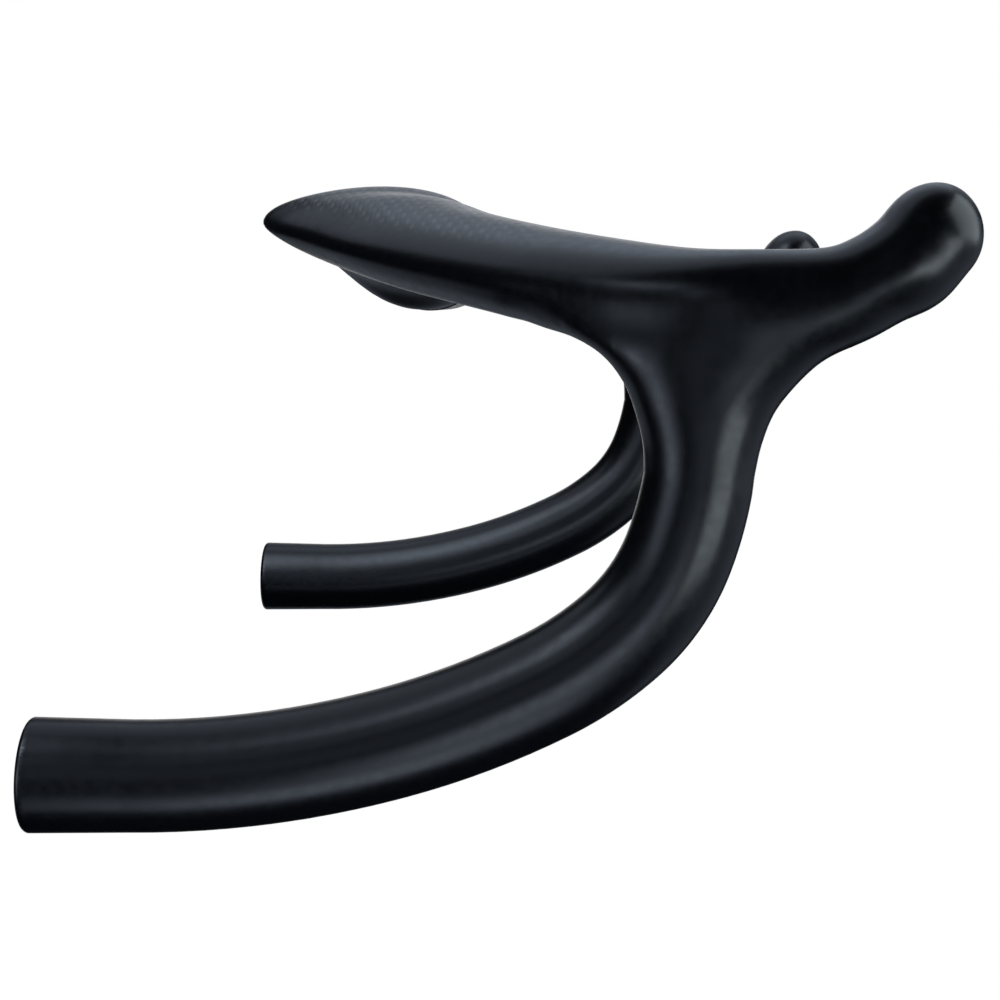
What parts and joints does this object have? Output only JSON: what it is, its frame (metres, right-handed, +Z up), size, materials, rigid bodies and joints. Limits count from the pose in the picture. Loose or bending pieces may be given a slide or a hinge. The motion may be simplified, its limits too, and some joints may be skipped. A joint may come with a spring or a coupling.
{
  "type": "track handlebar",
  "caption": "One-piece track handlebar with broad swept tops, a horn at each bend and round drops, hollow from open end to open end.",
  "frame": {"origin": "centre of the round land that the stem clamps, on the bar's plane of symmetry", "axes": "+X to the rider's right along the clamped land, +Y forward towards the horns, +Z up"},
  "size_m": [0.3566, 0.2035, 0.1429],
  "materials": {
    "moulded_body": "satin clear coat over dark fibre laminate, with a fine twill weave showing on the top faces"
  },
  "bodies": {
    "root": {"handlebar": "moulded_body"}
  },
  "joints": []
}
